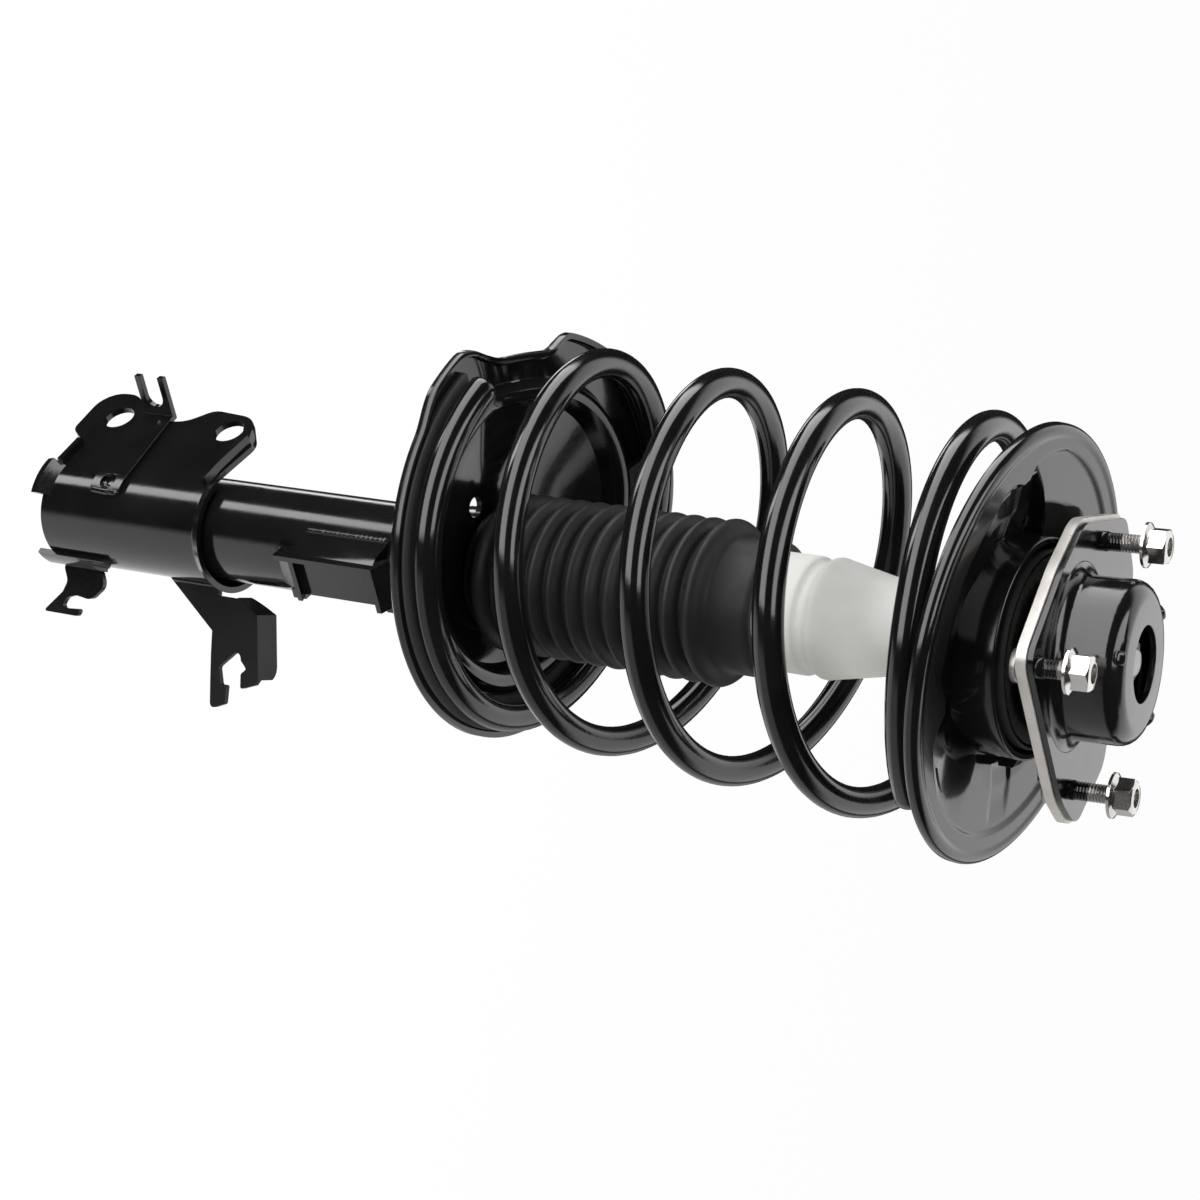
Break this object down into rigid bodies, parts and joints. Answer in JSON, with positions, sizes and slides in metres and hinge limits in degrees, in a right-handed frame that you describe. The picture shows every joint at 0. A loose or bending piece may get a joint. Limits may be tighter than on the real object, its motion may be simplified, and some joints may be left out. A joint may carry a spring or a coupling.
{
  "type": "strut assembly",
  "caption": "Front suspension strut with coil spring, damper, dust boot, bump stop, swivelling top mount with studs and flange nuts, and a two-hole knuckle bracket.",
  "frame": {"origin": "Middle of the access hole in the top mount's cap, on the cap's outer face, where the damper's axis meets the mount's axis.", "axes": "Z is the damper's axis, up towards the top mount. X points outboard from the tube to the knuckle bolts. Y lies along the knuckle bolts."},
  "size_m": [0.1865, 0.1934, 0.556],
  "materials": {
    "black_coat": "gloss black powder coat",
    "spring_coat": "satin gloss black powder coat",
    "black_rubber": "matte black moulded rubber",
    "grey_rubber": "matte dark grey rubber",
    "stop_foam": "off-white cellular polyurethane",
    "zinc_plate": "warm zinc plating",
    "nut_plate": "bright zinc-nickel plating",
    "bare_steel": "machined steel",
    "sintered_steel": "sintered steel",
    "rod_chrome": "hard chrome",
    "band_plastic": "low-friction plastic"
  },
  "bodies": {
    "top_mount": {"mount_upper_plate": "black_coat", "mount_cap": "black_coat", "mount_lower_plate": "zinc_plate", "mount_rubber": "black_rubber", "mount_inner_sleeve": "bare_steel", "mount_studs": "zinc_plate", "bearing_upper_race": "bare_steel", "piston_rod": "rod_chrome", "rod_nut": "zinc_plate", "rod_washer": "bare_steel", "piston": "sintered_steel", "piston_band": "band_plastic", "piston_nut": "zinc_plate", "rebound_stop": "bare_steel"},
    "upper_seat": {"upper_spring_seat": "black_coat", "bearing_lower_race": "bare_steel", "bearing_balls": "bare_steel", "bearing_seal": "black_rubber", "upper_rubber_seat": "black_rubber", "bump_stop": "stop_foam", "coil_spring": "spring_coat", "dust_boot": "black_rubber"},
    "housing": {"strut_tube": "black_coat", "base_cup": "black_coat", "inner_cylinder": "bare_steel", "base_valve": "bare_steel", "rod_guide": "sintered_steel", "oil_seal": "black_rubber", "knuckle_bracket": "black_coat", "hose_fork_clip": "black_coat", "sensor_lead_clip": "black_coat", "brake_hose_bracket": "black_coat", "stabiliser_bracket": "black_coat", "lower_spring_seat": "black_coat", "lower_rubber_seat": "grey_rubber"},
    "nut_1": {"flange_nut_1": "nut_plate"},
    "nut_2": {"flange_nut_2": "nut_plate"},
    "nut_3": {"flange_nut_3": "nut_plate"}
  },
  "joints": [
    {"name": "steer", "type": "hinge", "parent": "top_mount", "child": "upper_seat", "pos_m": [0, 0, -0.0455], "axis": [0, 0, 1], "range_deg": [-38, 38]},
    {"name": "travel", "type": "slide", "parent": "upper_seat", "child": "housing", "axis": [0, 0, 1], "range_m": [0, 0.105], "stiffness_N_per_m": 17000, "springref_m": -0.04, "deforming": ["coil_spring", "dust_boot"]},
    {"name": "nut_1_slide", "type": "slide", "parent": "top_mount", "child": "nut_1", "axis": [0.0947, -0.0442, 0.9945], "range_m": [-0.014, 0.03]},
    {"name": "nut_2_slide", "type": "slide", "parent": "top_mount", "child": "nut_2", "axis": [0.0947, -0.0442, 0.9945], "range_m": [-0.0085, 0.03]},
    {"name": "nut_3_slide", "type": "slide", "parent": "top_mount", "child": "nut_3", "axis": [0.0947, -0.0442, 0.9945], "range_m": [-0.014, 0.03]}
  ]
}
